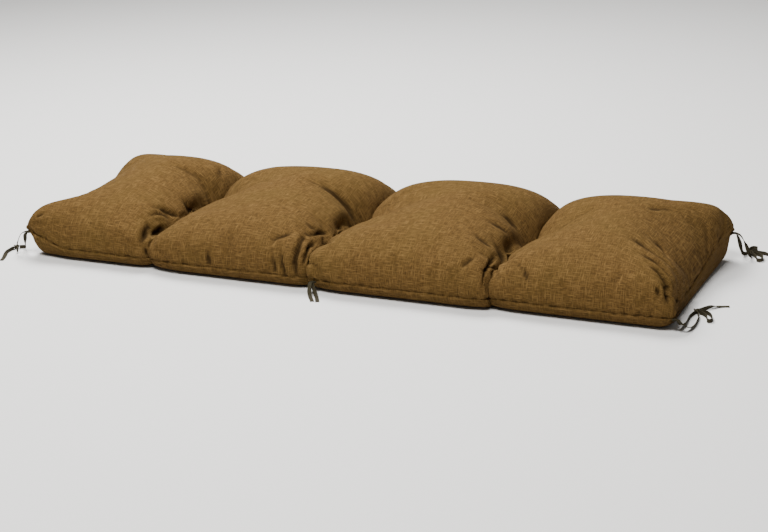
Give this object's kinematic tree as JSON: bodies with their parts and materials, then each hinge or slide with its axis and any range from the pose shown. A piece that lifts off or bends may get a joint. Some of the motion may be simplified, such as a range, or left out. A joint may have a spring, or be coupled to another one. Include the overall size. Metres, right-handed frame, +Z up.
{
  "type": "bench cushion",
  "caption": "Long bench seat cushion, puffed in sections between stitched and tufted divisions, with a knife-edge seam and flat tape ties at its corners and front edge.",
  "frame": {"origin": "on the floor under the middle of the cushion, without its ties", "axes": "+X along the cushion's length to its right end, +Y to its back edge, +Z up from the underside"},
  "size_m": [1.6107, 0.626, 0.1578],
  "materials": {
    "cloth": "slubby brown and olive woven cloth, matte",
    "tape": "dark olive woven tape, matte"
  },
  "bodies": {
    "root": {"cushion": "cloth", "tie_front_left_outer": "tape", "tie_front_left_inner": "tape", "tie_front_left_end": "tape", "knot_front_left": "tape", "tie_front_middle_left": "tape", "tie_front_middle_right": "tape", "tie_front_right_outer": "tape", "tie_front_right_inner": "tape", "tie_front_right_bow": "tape", "tie_front_right_end": "tape", "knot_front_right": "tape", "tie_back_right_outer": "tape", "tie_back_right_inner": "tape", "tie_back_right_bow": "tape", "tie_back_right_loop": "tape", "tie_back_right_end": "tape", "knot_back_right": "tape", "tie_back_left_near": "tape", "tie_back_left_far": "tape"}
  },
  "joints": []
}
